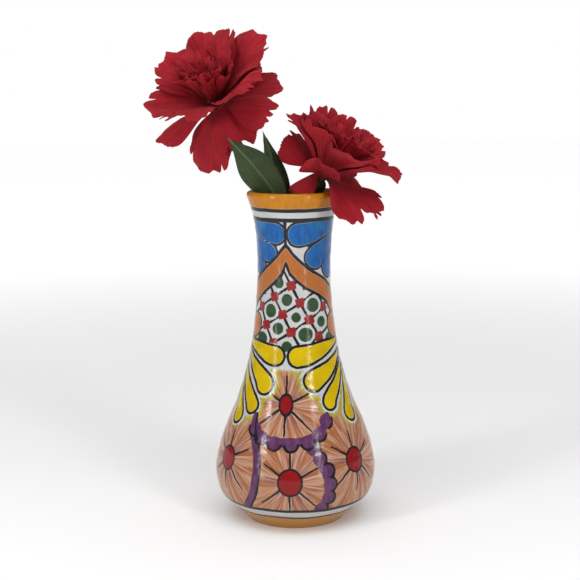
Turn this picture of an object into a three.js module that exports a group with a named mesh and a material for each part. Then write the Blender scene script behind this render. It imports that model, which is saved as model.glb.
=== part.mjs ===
// A hand-painted earthenware bud vase holding two artificial carnations.
// Millimetres. The origin is the centre of the foot's flat underside, +Z is up, -Y is the front.
// Each carnation is built as such flowers are made: a steel wire in a plastic sleeve, a moulded calyx
// pushed onto its tip, and five die-cut fabric layers threaded on a peg with a spacer between each two.
import * as THREE from "three";

// ---- driving dimensions ----
const VASE = {
  height: 203,
  footRadius: 31,
  bellyRadius: 49.8,
  bellyHeight: 28,
  neckRadius: 22.4,
  neckHeight: 158,
  mouthRadius: 28.6,
  lipThickness: 4.4,
  wall: 4.3,
  floor: 7,
  segments: 36,
};
const STEM = { sleeveRadius: 2.3, boreRadius: 1.5, wireRadius: 0.8, sides: 8, steps: 40, wireProud: 1.5 };
const CALYX = { length: 14, socketDepth: 6.5, socketRadius: 2.8, pegDepth: 4.7 };
const SHEET = { thickness: 0.8, holeRadius: 1.7, hubRadius: 3.8, pitch: 2.8, lobes: 6, notch: 0.72 };
const PEG = { radius: 1.2, capRadius: 2.7, capHeight: 2.2 };
const SPACER = { outer: 2.8, inner: 1.6 };
const COLLAR = { outer: 4.1, inner: 2.9, length: 8 };
const GAP = 0.3;

// The fabric layers from the lowest up: cut radius, how far each petal curls along its length, and the
// turn of the layer's first petal from the lowest layer's first petal.
const LAYERS = [
  { name: "skirt_petals", cut: 46, curl: 34, turn: 0, ruffle: 1.6 },
  { name: "outer_petals", cut: 47, curl: 30, turn: 30, ruffle: 1.6 },
  { name: "middle_petals", cut: 40, curl: 22, turn: 8, ruffle: 1 },
  { name: "inner_petals", cut: 31, curl: 14, turn: 40, ruffle: 0.5 },
  { name: "heart_petals", cut: 21, curl: 4, turn: 20, ruffle: 0.2 },
];

// Each flower: its hub, the way the bloom faces, the azimuth of its first skirt petal (0 is straight down
// the slope of the bloom), each layer's mean rise and relative reach petal by petal, and its stem's route.
const FLOWERS = [
  {
    name: "left",
    hub: [-44.5, 7, 254],
    faces: [-0.34, -0.6, 0.725],
    firstPetal: 345,
    rise: [
      [-46, -34, -4, 2, 4, -13],
      [34, 34, 34, 36, 40, 30],
      [50, 58, 52, 48, 48, 46],
      [62, 65, 60, 58, 60, 62],
      [79, 79, 80, 81, 81, 80],
    ],
    reach: [
      [1, 0.8, 0.98, 0.9, 0.9, 1.1],
      [0.95, 1.05, 1.14, 1.08, 1, 1],
      [0.85, 0.78, 0.85, 0.9, 0.95, 1],
      [1, 0.95, 0.85, 0.85, 0.95, 1],
      [1, 1, 1, 1, 1, 1],
    ],
    foot: [9, 0, 7.6],
    bendStart: [-11.5, 2, 172],
    bend: [[-19, 8, 203], [-30, 14.5, 224]],
  },
  {
    name: "right",
    hub: [17, -4, 212],
    faces: [0.46, -0.2, 0.865],
    firstPetal: 345,
    rise: [
      [-10, -10, 8, 18, -62, 25],
      [38, 42, 44, 33, 46, 47],
      [52, 58, 60, 50, 59, 60],
      [63, 65, 66, 63, 65, 65],
      [80, 80, 81, 82, 82, 81],
    ],
    reach: [
      [1, 1.08, 0.95, 0.8, 0.48, 0.75],
      [1.08, 1.04, 1.06, 0.95, 0.98, 1.04],
      [1, 1, 1, 0.95, 0.9, 0.95],
      [1, 1, 1, 1, 1, 1],
      [1, 1, 1, 1, 1, 1],
    ],
    foot: [-8, 10, 7.6],
    bendStart: [1, 7, 158],
    bend: [[3.4, 5.6, 180]],
  },
];

// The two leaves on the left stem: centreline, widest half width, and the way the leaf's face looks.
const LEAVES = [
  {
    name: "left_front_leaf",
    line: [[-11.6, -1.7, 173.6], [-9, -4, 188], [-11.4, -7, 201], [-24.5, -14, 220], [-38.5, -21, 236]],
    halfWidth: 10.5,
    widest: 0.62,
    face: [-0.1, -1, 0.25],
  },
  {
    name: "left_back_leaf",
    line: [[-8, 2.4, 173.6], [-6.8, 3.4, 188], [-9.2, 3.8, 206], [-13, 3, 222], [-18.5, 2, 239]],
    halfWidth: 7.5,
    widest: 0.5,
    face: [0.25, -1, 0.1],
  },
];

const COLOURS = {
  glaze: { color: 0xdedcd6, roughness: 0.14, metalness: 0 },
  petal: { color: 0xb3121f, roughness: 0.85, metalness: 0 },
  leaf: { color: 0x33502c, roughness: 0.7, metalness: 0 },
  stem: { color: 0x2f5a2a, roughness: 0.5, metalness: 0 },
  fitting: { color: 0x3f6a36, roughness: 0.45, metalness: 0 },
  spacer: { color: 0x7a1018, roughness: 0.5, metalness: 0 },
  wire: { color: 0x8a8c8e, roughness: 0.35, metalness: 1 },
};
const materials = Object.fromEntries(
  Object.entries(COLOURS).map(([name, look]) => [name, new THREE.MeshStandardMaterial(look)]),
);

const radians = THREE.MathUtils.degToRad;
const vector = (p) => new THREE.Vector3(...p);

function piece(name, geometry, material) {
  const mesh = new THREE.Mesh(geometry, materials[material]);
  mesh.name = name;
  return mesh;
}

function polyline(points) {
  return points.map(([r, z]) => new THREE.Vector2(r, z));
}

// A closed shell from two facing grids of points. Rows run outward, and columns go round when wrapped.
function shellGeometry(front, back, wrapped) {
  const rows = front.length;
  const columns = front[0].length;
  const positions = [...front.flat(), ...back.flat()].flatMap((p) => p.toArray());
  const at = (side, i, j) => side * rows * columns + i * columns + (j % columns);
  const index = [];
  const quad = (a, b, c, d) => index.push(a, b, c, a, c, d);
  const spans = wrapped ? columns : columns - 1;
  for (let j = 0; j < spans; j++) {
    for (let i = 0; i < rows - 1; i++) {
      quad(at(0, i, j), at(0, i + 1, j), at(0, i + 1, j + 1), at(0, i, j + 1));
      quad(at(1, i, j), at(1, i, j + 1), at(1, i + 1, j + 1), at(1, i + 1, j));
    }
    quad(at(0, rows - 1, j), at(1, rows - 1, j), at(1, rows - 1, j + 1), at(0, rows - 1, j + 1));
    quad(at(1, 0, j), at(0, 0, j), at(0, 0, j + 1), at(1, 0, j + 1));
  }
  if (!wrapped) {
    for (let i = 0; i < rows - 1; i++) {
      const last = columns - 1;
      quad(at(0, i, 0), at(1, i, 0), at(1, i + 1, 0), at(0, i + 1, 0));
      quad(at(0, i, last), at(0, i + 1, last), at(1, i + 1, last), at(1, i, last));
    }
  }
  const geometry = new THREE.BufferGeometry();
  geometry.setAttribute("position", new THREE.Float32BufferAttribute(positions, 3));
  geometry.setIndex(index);
  return geometry;
}

// Moves each point of a surface along its normal. surface(i, j) gives a point for any whole i and j.
function offsetGrid(surface, rows, columns, distance) {
  const grid = [];
  for (let i = 0; i < rows; i++) {
    const row = [];
    for (let j = 0; j < columns; j++) {
      const along = surface(i + 0.5, j).sub(surface(i - 0.5, j));
      const across = surface(i, j + 0.5).sub(surface(i, j - 0.5));
      const normal = along.cross(across).normalize();
      row.push(surface(i, j).addScaledVector(normal, distance));
    }
    grid.push(row);
  }
  return grid;
}

// ---- the vase: one thrown body ----
function vaseProfile() {
  const { height, footRadius, bellyRadius, bellyHeight, neckRadius, neckHeight, mouthRadius } = VASE;
  const { lipThickness, wall, floor } = VASE;
  const outer = new THREE.SplineCurve(
    polyline([
      [footRadius + 2, 2.5],
      [footRadius + 4.6, 5],
      [39.6, 9],
      [46.4, 15.5],
      [bellyRadius, bellyHeight],
      [48.6, 40],
      [43.8, 56],
      [36.4, 73.5],
      [29.8, 94],
      [25.6, 115],
      [23.4, 134],
      [neckRadius, neckHeight],
      [23.4, 178],
      [25.2, 190],
      [mouthRadius, height - 2.6],
    ]),
  );
  const inner = new THREE.SplineCurve(
    polyline([
      [mouthRadius - lipThickness, height - 2.2],
      [25.2 - wall, 190],
      [23.4 - wall, 178],
      [neckRadius - wall, neckHeight],
      [23.4 - wall, 134],
      [25.4 - wall, 115],
      [29.4 - wall, 94],
      [35.6 - wall, 73.5],
      [43 - wall, 55],
      [bellyRadius - wall - 0.6, 32],
      [42, 17],
      [30, 9.5],
      [14, floor],
    ]),
  );
  const lip = new THREE.EllipseCurve(
    mouthRadius - lipThickness / 2,
    height - 2.2,
    lipThickness / 2,
    2.2,
    0,
    Math.PI,
  );
  return [
    new THREE.Vector2(0, 0),
    new THREE.Vector2(footRadius, 0),
    ...outer.getPoints(17),
    ...lip.getPoints(5).slice(1, -1),
    ...inner.getPoints(12),
    new THREE.Vector2(0, floor),
  ];
}

function vase() {
  return piece("vase", new THREE.LatheGeometry(vaseProfile(), VASE.segments).rotateX(Math.PI / 2), "glaze");
}

// ---- turned plastic fittings, about local +Z ----
function turned(profile, segments) {
  return new THREE.LatheGeometry(polyline(profile), segments).rotateX(Math.PI / 2);
}

function calyx() {
  const { length, socketDepth, socketRadius, pegDepth } = CALYX;
  const top = -SHEET.thickness / 2 - GAP;
  return turned(
    [
      [0, socketDepth - length],
      [socketRadius, socketDepth - length],
      [socketRadius, -length],
      [socketRadius + 0.9, -length],
      [4.9, -length + 4],
      [5.6, -length + 7.5],
      [4.9, -3.4],
      [3.4, -2],
      [3.2, top],
      [SPACER.inner, top],
      [SPACER.inner, -pegDepth],
      [0, -pegDepth],
    ],
    14,
  );
}

function ring(outer, inner, low, high, segments) {
  return turned([[inner, low], [outer, low], [outer, high], [inner, high], [inner, low]], segments);
}

function peg() {
  const foot = -CALYX.pegDepth + GAP;
  const seat = SHEET.pitch * (LAYERS.length - 1) + SHEET.thickness / 2 + GAP;
  const { radius, capRadius, capHeight } = PEG;
  return turned(
    [
      [0, foot],
      [radius, foot],
      [radius, seat],
      [capRadius, seat],
      [capRadius * 0.85, seat + capHeight * 0.7],
      [0, seat + capHeight],
    ],
    10,
  );
}

// ---- a die-cut layer of petals: a lobed disc whose petals each rise or droop from the hub ----
function petalLayer(layer, level, rises, reaches, firstPetal) {
  const { lobes, notch, holeRadius, hubRadius, pitch, thickness } = SHEET;
  const columns = lobes * 4;
  const rows = 5;
  // Blends a per-petal value round the disc, holding it over each petal.
  const blend = (values, petal) => {
    const low = Math.floor(petal);
    const share = THREE.MathUtils.smoothstep(petal - low, 0.15, 0.85);
    const value = (k) => values[((k % lobes) + lobes) % lobes];
    return value(low) * (1 - share) + value(low + 1) * share;
  };
  const surface = (i, j) => {
    const petal = (j / columns) * lobes;
    const azimuth = radians(firstPetal + layer.turn + (petal / lobes) * 360);
    const lobe = notch + (1 - notch) * Math.sqrt(Math.abs(Math.cos(petal * Math.PI)));
    const reach = layer.cut * lobe * blend(reaches, petal);
    if (i < 1) {
      const inside = holeRadius + (hubRadius - holeRadius) * i;
      return new THREE.Vector3(inside * Math.cos(azimuth), inside * Math.sin(azimuth), level * pitch);
    }
    const along = ((reach - hubRadius) * (i - 1)) / (rows - 2);
    const start = radians(blend(rises, petal) + layer.curl / 2);
    const bend = radians(-layer.curl) / layer.cut;
    const angle = start + bend * along;
    const out = hubRadius + (Math.sin(angle) - Math.sin(start)) / bend;
    const up = (Math.cos(start) - Math.cos(angle)) / bend;
    const ruffle = layer.ruffle * (along / layer.cut) ** 2 * Math.sin(petal * 2 * Math.PI);
    return new THREE.Vector3(
      out * Math.cos(azimuth),
      out * Math.sin(azimuth),
      level * pitch + up + ruffle,
    );
  };
  return shellGeometry(
    offsetGrid(surface, rows, columns, thickness / 2),
    offsetGrid(surface, rows, columns, -thickness / 2),
    true,
  );
}

// The bloom's frame: +Z the way it faces, +X straight down its slope.
function bloomFrame(flower) {
  const faces = vector(flower.faces).normalize();
  const down = new THREE.Vector3(0, 0, -1).projectOnPlane(faces).normalize();
  const side = faces.clone().cross(down);
  const basis = new THREE.Matrix4().makeBasis(down, side, faces);
  const group = new THREE.Group();
  group.position.copy(vector(flower.hub));
  group.quaternion.setFromRotationMatrix(basis);
  return group;
}

function bloom(flower) {
  const group = bloomFrame(flower);
  const { pitch, thickness } = SHEET;
  group.add(piece(`${flower.name}_calyx`, calyx(), "fitting"));
  group.add(piece(`${flower.name}_peg`, peg(), "spacer"));
  LAYERS.forEach((layer, level) => {
    const sheet = petalLayer(layer, level, flower.rise[level], flower.reach[level], flower.firstPetal);
    group.add(piece(`${flower.name}_${layer.name}`, sheet, "petal"));
    if (level > 0) {
      const low = (level - 1) * pitch + thickness / 2 + GAP;
      const high = level * pitch - thickness / 2 - GAP;
      const spacer = ring(SPACER.outer, SPACER.inner, low, high, 12);
      group.add(piece(`${flower.name}_spacer_${level}`, spacer, "spacer"));
    }
  });
  return group;
}

// ---- the stem: a straight length in the vase, then a bend up into the calyx ----
function stemRoute(flower) {
  const hub = vector(flower.hub);
  const faces = vector(flower.faces).normalize();
  const behind = (distance) => hub.clone().addScaledVector(faces, -distance);
  const foot = vector(flower.foot);
  const bendStart = vector(flower.bendStart);
  const straight = [0, 0.35, 0.7, 0.92].map((share) => foot.clone().lerp(bendStart, share));
  const tip = CALYX.length - CALYX.socketDepth + GAP;
  return new THREE.CatmullRomCurve3([
    ...straight,
    bendStart,
    ...flower.bend.map(vector),
    behind(CALYX.length + 8),
    behind(CALYX.length + 1),
    behind(tip),
  ]);
}

// The stretch of a curve between two distances from its start.
function stretch(curve, from, to) {
  const length = curve.getLength();
  const part = new THREE.Curve();
  part.getPoint = (t, target = new THREE.Vector3()) =>
    curve.getPointAt(THREE.MathUtils.clamp((from + (to - from) * t) / length, 0, 1), target);
  return part;
}

function roundSection(radius, sides) {
  const points = [];
  for (let k = 0; k < sides; k++) {
    const angle = (k / sides) * 2 * Math.PI;
    points.push(new THREE.Vector2(radius * Math.cos(angle), radius * Math.sin(angle)));
  }
  return points;
}

function stem(flower) {
  const route = stemRoute(flower);
  const length = route.getLength();
  const sleeveRoute = stretch(route, STEM.wireProud, length - STEM.wireProud);
  const section = new THREE.Shape(roundSection(STEM.sleeveRadius, STEM.sides));
  section.holes.push(new THREE.Path(roundSection(STEM.boreRadius, STEM.sides)));
  const sweep = (shape, path) =>
    new THREE.ExtrudeGeometry(shape, { steps: STEM.steps, extrudePath: path, bevelEnabled: false });
  const wire = new THREE.Shape(roundSection(STEM.wireRadius, 6));
  const group = new THREE.Group();
  group.add(piece(`${flower.name}_stem_sleeve`, sweep(section, sleeveRoute), "stem"));
  group.add(piece(`${flower.name}_stem_wire`, sweep(wire, route), "wire"));
  return group;
}

// ---- leaves: pointed sheets, folded a little along the midrib ----
function leaf({ line, halfWidth, widest, face }) {
  const centre = new THREE.CatmullRomCurve3(line.map(vector));
  const rows = 10;
  const columns = 5;
  const surface = (i, j) => {
    const t = THREE.MathUtils.clamp(i / (rows - 1), 0, 1);
    const tangent = centre.getTangentAt(t);
    const across = tangent.clone().cross(vector(face)).normalize();
    const lift = across.clone().cross(tangent).normalize();
    const rise = t < widest ? t / widest : (1 - t) / (1 - widest);
    const width = 0.8 + (halfWidth - 0.8) * Math.sin((rise * Math.PI) / 2) ** 1.8;
    const side = (2 * j) / (columns - 1) - 1;
    const point = centre.getPointAt(t).addScaledVector(tangent, i - t * (rows - 1));
    return point.addScaledVector(across, side * width).addScaledVector(lift, -0.16 * width * side * side);
  };
  return shellGeometry(
    offsetGrid(surface, rows, columns, SHEET.thickness / 2),
    offsetGrid(surface, rows, columns, -SHEET.thickness / 2),
    false,
  );
}

function leafCollar(flower) {
  const group = new THREE.Group();
  const foot = vector(flower.foot);
  const bendStart = vector(flower.bendStart);
  const axis = bendStart.clone().sub(foot).normalize();
  group.position.copy(bendStart);
  group.quaternion.setFromUnitVectors(new THREE.Vector3(0, 0, 1), axis);
  const collar = ring(COLLAR.outer, COLLAR.inner, -COLLAR.length, 0, 12);
  group.add(piece(`${flower.name}_leaf_collar`, collar, "fitting"));
  return group;
}

const part = new THREE.Group();
part.add(vase());
FLOWERS.forEach((flower) => part.add(bloom(flower), stem(flower)));
part.add(leafCollar(FLOWERS[0]));
LEAVES.forEach((one) => part.add(piece(one.name, leaf(one), "leaf")));

export default part;
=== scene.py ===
"""A hand-painted talavera bud vase that holds two artificial carnations.

The scene is in metres, +Z up, with -Y the front of the vase.
"""
import math

import bmesh
import bpy
import numpy as np
from mathutils import Matrix, Vector


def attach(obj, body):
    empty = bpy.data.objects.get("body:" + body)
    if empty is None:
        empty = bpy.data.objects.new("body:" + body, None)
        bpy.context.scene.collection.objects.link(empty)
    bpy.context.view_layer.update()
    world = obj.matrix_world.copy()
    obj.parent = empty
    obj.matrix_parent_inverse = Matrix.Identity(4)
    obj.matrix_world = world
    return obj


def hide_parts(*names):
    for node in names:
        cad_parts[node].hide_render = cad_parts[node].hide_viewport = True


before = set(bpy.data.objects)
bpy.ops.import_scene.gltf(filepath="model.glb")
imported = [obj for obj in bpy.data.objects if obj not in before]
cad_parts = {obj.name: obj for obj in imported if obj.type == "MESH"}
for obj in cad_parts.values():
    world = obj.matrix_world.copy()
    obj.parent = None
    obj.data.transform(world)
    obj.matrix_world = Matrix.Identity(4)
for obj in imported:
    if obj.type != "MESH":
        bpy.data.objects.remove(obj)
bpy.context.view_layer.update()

MM = 0.001
# A direction that no swept path runs along.
SWEEP_SIDE = (0.31, 0.95, 0.05)
scene = bpy.context.scene


# ---- node materials ----


class Graph:
    """Builds a node material or world. Every value is a socket, a number or a colour."""

    def __init__(self, name, kind=bpy.data.materials, shader="Principled BSDF"):
        self.owner = kind.new(name)
        self.owner.use_nodes = True
        self.tree = self.owner.node_tree
        self.shader = self.tree.nodes[shader]

    def put(self, socket, value):
        if isinstance(value, bpy.types.NodeSocket):
            self.tree.links.new(value, socket)
        elif isinstance(value, tuple) and len(value) == 3 and socket.type == "RGBA":
            socket.default_value = (*value, 1)
        elif value is not None:
            socket.default_value = value

    def node(self, kind, output, inputs, **settings):
        node = self.tree.nodes.new(kind)
        for key, value in settings.items():
            setattr(node, key, value)
        for key, value in inputs.items():
            self.put(node.inputs[key], value)
        return node.outputs[output]

    def math(self, operation, *values):
        return self.node("ShaderNodeMath", 0, dict(enumerate(values)), operation=operation)

    def add(self, a, b):
        return self.math("ADD", a, b)

    def times(self, a, b):
        return self.math("MULTIPLY", a, b)

    def step(self, value, low, high):
        """0 where value is at low, 1 where it is at high, smooth between them."""
        limits = {"Value": value, "From Min": low, "From Max": high}
        return self.node("ShaderNodeMapRange", 0, limits, interpolation_type="SMOOTHSTEP")

    def mix(self, share, a, b):
        node = self.tree.nodes.new("ShaderNodeMix")
        node.data_type = "RGBA"
        colours = [socket for socket in node.inputs if socket.type == "RGBA"]
        self.put(node.inputs[0], share)
        self.put(colours[0], a)
        self.put(colours[1], b)
        return next(socket for socket in node.outputs if socket.type == "RGBA")

    def attribute(self, name):
        return self.node("ShaderNodeAttribute", "Fac", {}, attribute_name=name)

    def place(self):
        """Where the point is on the piece, in metres."""
        return self.node("ShaderNodeTexCoord", "Object", {})

    def vector(self, x, y, z):
        return self.node("ShaderNodeCombineXYZ", 0, {"X": x, "Y": y, "Z": z})

    def scaled(self, where, x, y, z):
        return self.node("ShaderNodeVectorMath", 0, {0: where, 1: (x, y, z)}, operation="MULTIPLY")

    def noise(self, where, scale, detail=2.0, roughness=0.5):
        inputs = {"Vector": where, "Scale": scale, "Detail": detail, "Roughness": roughness}
        return self.node("ShaderNodeTexNoise", 0, inputs)

    def bump(self, height, distance, under=None):
        inputs = {"Height": height, "Distance": distance, "Normal": under}
        return self.node("ShaderNodeBump", 0, inputs)

    def finish(self, **inputs):
        for key, value in inputs.items():
            self.put(self.shader.inputs[key.replace("_", " ")], value)
        return self.owner


# ---- meshes and curves ----


def new_object(name, points, faces, material):
    mesh = bpy.data.meshes.new(name)
    mesh.from_pydata(points.tolist(), [], faces.tolist())
    mesh.materials.append(material)
    mesh.shade_smooth()
    mesh.update()
    thing = bpy.data.objects.new(name, mesh)
    scene.collection.objects.link(thing)
    return thing


def set_attribute(thing, name, values):
    layer = thing.data.attributes.new(name, "FLOAT", "POINT")
    layer.data.foreach_set("value", np.ascontiguousarray(values, dtype=np.float32))


def stand_for(thing, node, body):
    """Shows a piece instead of a CAD node, on the node's body."""
    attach(thing, body)
    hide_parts(node)


def grid_faces(rows, columns, wrapped=False, first=0):
    """Quads of a grid of points, row after row, starting at the point numbered first."""
    spans = columns if wrapped else columns - 1
    i, j = np.meshgrid(np.arange(rows - 1), np.arange(spans), indexing="ij")
    k = (j + 1) % columns
    quads = (i * columns + j, i * columns + k, (i + 1) * columns + k, (i + 1) * columns + j)
    return np.stack(quads, -1).reshape(-1, 4) + first


def thicken(thing, millimetres):
    solid = thing.modifiers.new("cloth_thickness", "SOLIDIFY")
    solid.thickness = millimetres * MM
    solid.offset = 0


def cap_ends(thing, rows, columns):
    """Closes the first and the last ring of a tube."""
    work = bmesh.new()
    work.from_mesh(thing.data)
    work.verts.ensure_lookup_table()
    work.faces.new([work.verts[k] for k in range(columns)][::-1])
    work.faces.new([work.verts[(rows - 1) * columns + k] for k in range(columns)])
    bmesh.ops.recalc_face_normals(work, faces=work.faces)
    work.to_mesh(thing.data)
    work.free()
    thing.data.shade_smooth()


def spline(points, count):
    """A centripetal Catmull-Rom curve through the points, evenly spaced by length."""
    p = np.array(points, float)
    p = np.vstack([2 * p[0] - p[1], p, 2 * p[-1] - p[-2]])
    knots = np.sqrt(np.linalg.norm(np.diff(p, axis=0), axis=1))
    t = np.linspace(0, 1, 24, endpoint=False)[:, None]
    pieces = []
    for k in range(len(p) - 3):
        a, b, c, d = p[k : k + 4]
        before, here, after = knots[k : k + 3]
        leave = here * ((b - a) / before - (c - a) / (before + here)) + (c - b)
        arrive = (c - b) - here * ((d - b) / (here + after) - (d - c) / after)
        cubic = 2 * (b - c) + leave + arrive
        pieces.append(b + leave * t + (c - b - leave - cubic) * t**2 + cubic * t**3)
    curve = np.vstack([*pieces, p[-2:-1]])
    length = np.concatenate([[0], np.cumsum(np.linalg.norm(np.diff(curve, axis=0), axis=1))])
    at = np.linspace(0, length[-1], count)
    return np.stack([np.interp(at, length, column) for column in curve.T], 1)


def unit(v):
    v = np.array(v, float)
    return v / np.linalg.norm(v, axis=-1, keepdims=True)


def sweep(name, path, radius, sides, material):
    """A closed round tube along a path in millimetres, with one radius for each point."""
    tangents = unit(np.gradient(path, axis=0))
    side = unit(np.cross(tangents, SWEEP_SIDE))
    lift = np.cross(tangents, side)
    turn = np.linspace(0, 2 * math.pi, sides, endpoint=False)[None, :, None]
    ring = side[:, None] * np.cos(turn) + lift[:, None] * np.sin(turn)
    points = (path[:, None] + ring * radius[:, None, None]).reshape(-1, 3) * MM
    thing = new_object(name, points, grid_faces(len(path), sides, True), material)
    cap_ends(thing, len(path), sides)
    return thing


# ---- camera, lights and floor ----

CAMERA_BACK = 0.719
CAMERA_HEIGHT = 0.2595
CAMERA_PITCH = math.radians(9.3)
CAMERA_ROLL = math.radians(0.45)
SENSOR = 36.0
FOCAL_LENGTH = 73.55
CAMERA_SHIFT = -0.0072
CAMERA_REACH = 20
LIGHT_TARGET = (0, 0, 0.17)
FLOOR_RADIUS = 6
FLOOR_GLOW = {"near": 0.06, "far": 0.48, "from": 0.25, "to": 1.4}
CEILING_LIGHT = 1.0
HORIZON_LIGHT = 0.12
BACKDROP_LIGHT = 1.0


def make_camera():
    data = bpy.data.cameras.new("camera")
    data.sensor_width = SENSOR
    data.lens = FOCAL_LENGTH
    data.shift_x = CAMERA_SHIFT
    data.clip_end = CAMERA_REACH
    camera = bpy.data.objects.new("camera", data)
    ahead = Vector((0, math.cos(CAMERA_PITCH), -math.sin(CAMERA_PITCH)))
    level_up = Vector((0, math.sin(CAMERA_PITCH), math.cos(CAMERA_PITCH)))
    right = Vector((1, 0, 0)) * math.cos(CAMERA_ROLL) - level_up * math.sin(CAMERA_ROLL)
    up = Vector((1, 0, 0)) * math.sin(CAMERA_ROLL) + level_up * math.cos(CAMERA_ROLL)
    axes = Matrix((right, up, -ahead)).transposed().to_4x4()
    camera.matrix_world = Matrix.Translation((0, -CAMERA_BACK, CAMERA_HEIGHT)) @ axes
    scene.collection.objects.link(camera)
    scene.camera = camera


def make_softbox(name, azimuth, elevation, distance, width, height, radiance):
    """A rectangular light that faces the vase. Azimuth 0 is the front, positive to the right."""
    data = bpy.data.lights.new(name, "AREA")
    data.shape = "RECTANGLE"
    data.size = width
    data.size_y = height
    data.energy = radiance * math.pi * width * height
    light = bpy.data.objects.new(name, data)
    turn, lift = math.radians(azimuth), math.radians(elevation)
    flat = math.cos(lift)
    away = Vector((math.sin(turn) * flat, -math.cos(turn) * flat, math.sin(lift)))
    light.location = Vector(LIGHT_TARGET) + away * distance
    light.rotation_euler = away.to_track_quat("Z", "Y").to_euler()
    scene.collection.objects.link(light)


def floor_material():
    g = Graph("studio_paper")
    grain = g.noise(g.place(), 900, 3)
    colour = g.mix(grain, (0.86,) * 3, (0.9,) * 3)
    # The far paper glows a little, so that it meets the white backdrop.
    distance = g.node("ShaderNodeVectorMath", "Value", {0: g.place()}, operation="LENGTH")
    far = g.step(distance, FLOOR_GLOW["from"], FLOOR_GLOW["to"])
    return g.finish(
        Base_Color=colour,
        Roughness=0.9,
        Emission_Strength=g.add(FLOOR_GLOW["near"], g.times(far, FLOOR_GLOW["far"] - FLOOR_GLOW["near"])),
        Emission_Color=(1, 1, 1),
        Normal=g.bump(grain, 0.00004),
    )


def make_sky():
    """A white sky that is bright overhead and dim near the horizon, where the glaze reflects it."""
    g = Graph("studio", bpy.data.worlds, "Background")
    up = g.node("ShaderNodeSeparateXYZ", "Z", {0: g.node("ShaderNodeTexCoord", "Generated", {})})
    limits = {"From Min": 0.5, "From Max": 0.85, "To Min": HORIZON_LIGHT, "To Max": CEILING_LIGHT}
    inputs = {"Value": up, **limits}
    sky = g.node("ShaderNodeMapRange", 0, inputs, interpolation_type="SMOOTHSTEP")
    seen = g.node("ShaderNodeLightPath", "Is Camera Ray", {})
    strength = g.node("ShaderNodeMix", 0, {"Factor": seen, "A": sky, "B": BACKDROP_LIGHT})
    scene.world = g.finish(Color=(1, 1, 1), Strength=strength)


def make_surroundings():
    scene.view_settings.view_transform = "Standard"
    make_sky()
    for name, azimuth in {"left": -51, "right": 36}.items():
        # A tall strip gives the long streak down the glaze, and two panes its small bright marks.
        make_softbox(f"strip_{name}", azimuth, 15, 0.8, 0.07, 0.7, 9)
        for pane, shift in enumerate((-3, 3)):
            make_softbox(f"pane_{name}_{pane}", azimuth + shift, 12, 1.0, 0.05, 0.1, 42)
        make_softbox(f"key_{name}", azimuth * 0.75, 58, 1.3, 0.8, 0.55, 2)
    bpy.ops.mesh.primitive_circle_add(vertices=96, radius=FLOOR_RADIUS, fill_type="NGON")
    floor = bpy.context.object
    floor.name = "studio_floor"
    floor.data.materials.append(floor_material())


# ---- the vase ----
# The pattern is laid out in degrees round the vase from the front, positive to the right, and in
# millimetres of height. Distances across the glaze are in millimetres.

# The wall's outline as (radius, height): up the outside, then down the inside.
OUTER = [(31, 0), (33, 2.5), (35.6, 5), (39.6, 9), (46.4, 15.5), (49.8, 28), (48.6, 40), (43.8, 56)]
OUTER += [(36.4, 73.5), (29.8, 94), (25.6, 115), (23.4, 134), (22.4, 158), (23.4, 178), (25.2, 190)]
OUTER += [(28.6, 200.4)]
INNER = [(24.2, 200.8), (20.9, 190), (19.1, 178), (18.1, 158), (19.1, 134), (21.1, 115), (25.1, 94)]
INNER += [(31.3, 73.5), (38.7, 55), (44.9, 32), (42, 17), (30, 9.5), (14, 7)]
AXIS_RADIUS = 0.2
LIP_CENTRE = (26.4, 200.8)
LIP_RADIUS = 2.2
AROUND = 440
OUTSIDE, INSIDE, UNDERSIDE = 0, 1, 2

PATTERN_CENTRE = -12.5
NECK_MM_PER_DEGREE = 0.393
# Teardrops that fan out from each side: root to round end, as (degrees, height, half width).
BLUE_DROPS = [
    [(-95, 183, 2.6), (-62, 181.7, 4.2), (-38, 179.8, 5.9), (-28, 179.2, 6.2)],
    [(-98, 177, 3), (-72, 172, 5.2), (-52, 168.3, 5.8), (-41, 167.4, 5.4)],
    [(-100, 168, 2.6), (-80, 161.8, 4.4), (-63, 158.8, 4.6)],
    [(84, 184, 2.4), (50, 181.8, 4.6), (20, 179.3, 6.5), (8, 178.6, 6.8)],
    [(88, 178.5, 2.6), (62, 172, 4.8), (42, 166.7, 6.4), (35, 164.6, 6.6)],
    [(92, 171, 2.6), (76, 163.5, 4.4), (65, 158, 5.9)],
]
YELLOW_DROPS = [
    [(-86, 113, 0.5), (-55, 109.6, 3.2), (-33, 106.4, 5), (-25.5, 105.8, 5.2)],
    [(-80, 107, 0.4), (-57, 98.5, 2.9), (-39, 91, 5), (-36, 88.8, 5.4)],
    [(-83, 100, 0.4), (-64, 86.5, 2.7), (-50, 78, 4.1), (-47, 75.8, 4.4)],
    [(-86, 93, 0.4), (-74, 79, 2.4), (-66, 70.5, 4), (-64, 68, 4.3)],
    [(74, 113, 0.5), (42, 109.6, 3.6), (15, 106.2, 5.3), (4.5, 105.5, 5.6)],
    [(73, 106, 0.4), (49, 98.2, 3.2), (26, 92.3, 5.3), (22, 91, 5.6)],
    [(73, 100, 0.4), (54, 88.5, 2.5), (39, 80.3, 3.8), (37, 78, 4)],
    [(76, 96, 0.4), (68, 81, 2.6), (62, 71.5, 4.3), (61, 69.5, 4.6)],
]
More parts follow.
